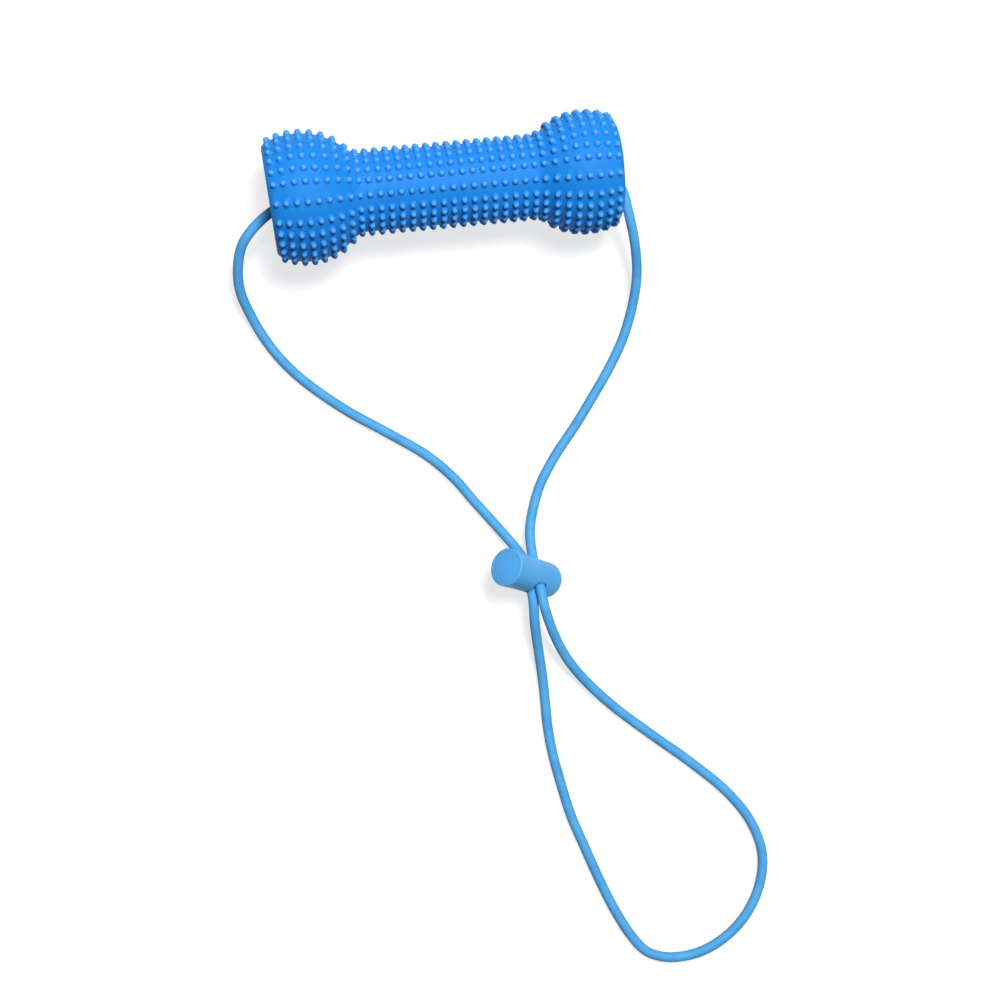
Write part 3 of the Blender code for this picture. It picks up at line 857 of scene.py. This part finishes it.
def makeCords():
    # each stretch stops a little short of the next, in the middle of the bone and of the lock
    meet, cutX, lead = cord["meet"], cord["cutX"], cord["lockLead"]
    for name, route, side in (("left", leftRoute, 1), ("right", rightRoute, -1)):
        start = [inBone(-side * x) for x in (meet, cutX / 2, cutX, cutX + cord["boreLead"])]
        end = [inLock(side, -y) for y in (lead, lead / 2, meet)]
        makeCord(name + "Cord", start, route, end, (f"cord_bore_{name}", f"cord_{name}"))
    start = [inLock(1, y) for y in (meet, lead / 2, lead)]
    end = [inLock(-1, y) for y in (lead, lead / 2, meet)]
    makeCord("loopCord", start, loopRoute, end, ("cord_loop",))


makeCords()
print("cord made")


# Sleeve on the cord inside the bone

sleeve = {
    "half": 7 * mm,
    "bore": 1.95 * mm,
    "outer": 3.1 * mm,
    "rounding": 0.35 * mm,
    "groove": 0.2 * mm,
    "grooveTop": 2.8 * mm,  # half of the groove's width at the outside, then at its floor
    "grooveFloor": 2.24 * mm,
    "steps": 48,
}


def makeSleeve():
    outer, inner, rounding = sleeve["outer"], sleeve["bore"], sleeve["rounding"]
    reach, low, high = sleeve["half"] - rounding, inner + rounding, outer - rounding
    profile = arc(reach, high, rounding, quarterTurn, 0)
    profile += arc(reach, low, rounding, 0, -quarterTurn)
    profile += arc(-reach, low, rounding, -quarterTurn, -2 * quarterTurn)
    profile += arc(-reach, high, rounding, 2 * quarterTurn, quarterTurn)
    top, foot, bottom = sleeve["grooveTop"], sleeve["grooveFloor"], outer - sleeve["groove"]
    profile += [(-top, outer), (-foot, bottom), (foot, bottom), (top, outer)]
    points = [(x, 0, r) for x, r in profile]
    bm = spun(points + points[:1], (1, 0, 0), sleeve["steps"])
    bmesh.ops.translate(bm, vec=(0, cord["boreY"], cord["boreLift"]), verts=bm.verts)
    bm.transform(boneFrame)
    piece = finishMesh("cordJoiner", bm, finishes["joiner"], "cord_and_lock", meshing["sharp"])
    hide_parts("cord_joiner")


makeSleeve()
print("sleeve made")


# Spring between the barrel's floor and the plunger

spring = {"radius": 2.9 * mm, "wire": 0.25 * mm, "turns": 4, "turnPoints": 32, "steps": 3}


def makeSpring():
    wire = spring["wire"]
    low = lock["floor"] + lock["gap"] + wire
    high = stemEnd + lock["pocket"] - lock["gap"] - wire
    count = spring["turns"] * spring["turnPoints"]
    line = []
    for i in range(count + 1):
        t = 2 * math.pi * i / spring["turnPoints"]
        z = low + (high - low) * i / count
        line.append(lockFrame @ Vector((spring["radius"] * math.cos(t), spring["radius"] * math.sin(t), z)))
    drawn = addObject("coil", roundCurve("lockSpring", line, wire, spring["steps"]))
    mesh = evaluatedMesh(drawn)
    bpy.data.objects.remove(drawn)
    mesh.materials.append(finishes["spring"])
    piece = addObject("lockSpring", mesh)
    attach(piece, "cord_and_lock")
    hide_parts("lock_spring")
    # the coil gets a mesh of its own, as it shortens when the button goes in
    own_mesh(piece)


makeSpring()
print("spring made")


# Floor, light and background

floorPaint = {
    "colour": (0.35, 0.35, 0.35),
    "sockets": {"Roughness": 0.9, "Specular IOR Level": 0},
}
studio = {
    "floorSize": 4,
    "floorGlow": 0.73,  # added for the camera, so that the floor is white
    "farGlow": 0.94,  # the same where the lamps hardly reach
    "glowNear": 0.5,  # from the middle of the floor, where the one starts to turn into the other
    "glowFar": 1.5,
    "skyLight": 0.12,
    "keyPlace": (0.2, 0.25, 1.3),
    "keySize": 0.4,
    "keyPower": 20,
    "fillPlace": (0.1, 1.3, 0.6),
    "fillSize": 0.8,
    "fillPower": 2,
    "aim": (0, -0.1, 0),
}


def seenRays(nodes, links):
    # 1 for what the camera sees, also in gloss and through glass
    rays = nodes.new("ShaderNodeLightPath").outputs
    total = rays["Is Camera Ray"]
    for name in ("Is Glossy Ray", "Is Transmission Ray"):
        add = nodes.new("ShaderNodeMath")
        add.operation = "MAXIMUM"
        links.new(total, add.inputs[0])
        links.new(rays[name], add.inputs[1])
        total = add.outputs[0]
    return total


def floorMaterial():
    made, nodes, links, shader = startMaterial("floorPaint", floorPaint)
    away = nodes.new("ShaderNodeVectorMath")
    away.operation = "LENGTH"
    links.new(nodes.new("ShaderNodeTexCoord").outputs["Object"], away.inputs[0])
    strength = span(
        nodes,
        links,
        away.outputs["Value"],
        studio["floorGlow"],
        studio["farGlow"],
        studio["glowNear"],
        studio["glowFar"],
    )
    seen = nodes.new("ShaderNodeMath")
    seen.operation = "MULTIPLY"
    links.new(seenRays(nodes, links), seen.inputs[0])
    links.new(strength, seen.inputs[1])
    glow = nodes.new("ShaderNodeEmission")
    links.new(seen.outputs[0], glow.inputs["Strength"])
    both = nodes.new("ShaderNodeAddShader")
    links.new(shader.outputs[0], both.inputs[0])
    links.new(glow.outputs[0], both.inputs[1])
    links.new(both.outputs[0], nodes["Material Output"].inputs["Surface"])
    return made


def makeFloor():
    bm = bmesh.new()
    bmesh.ops.create_grid(bm, x_segments=1, y_segments=1, size=studio["floorSize"] / 2)
    floor = addObject("floor", meshOf("floor", bm))
    floor.data.materials.append(floorMaterial())


def makeSky():
    world = bpy.data.worlds.new("studio")
    bpy.context.scene.world = world
    world.use_nodes = True
    nodes, links = world.node_tree.nodes, world.node_tree.links
    sky = nodes["Background"]
    sky.inputs["Color"].default_value = (1, 1, 1, 1)
    strength = span(nodes, links, seenRays(nodes, links), studio["skyLight"], 1)
    links.new(strength, sky.inputs["Strength"])


def makeLamp(name):
    data = bpy.data.lights.new(name, "AREA")
    data.size = studio[name + "Size"]
    data.energy = studio[name + "Power"]
    place = Vector(studio[name + "Place"])
    turn = (Vector(studio["aim"]) - place).to_track_quat("-Z", "Y").to_matrix().to_4x4()
    addObject(name, data).matrix_world = Matrix.Translation(place) @ turn


makeFloor()
makeSky()
makeLamp("key")
makeLamp("fill")
bpy.context.scene.view_settings.view_transform = "Standard"
print("studio made")
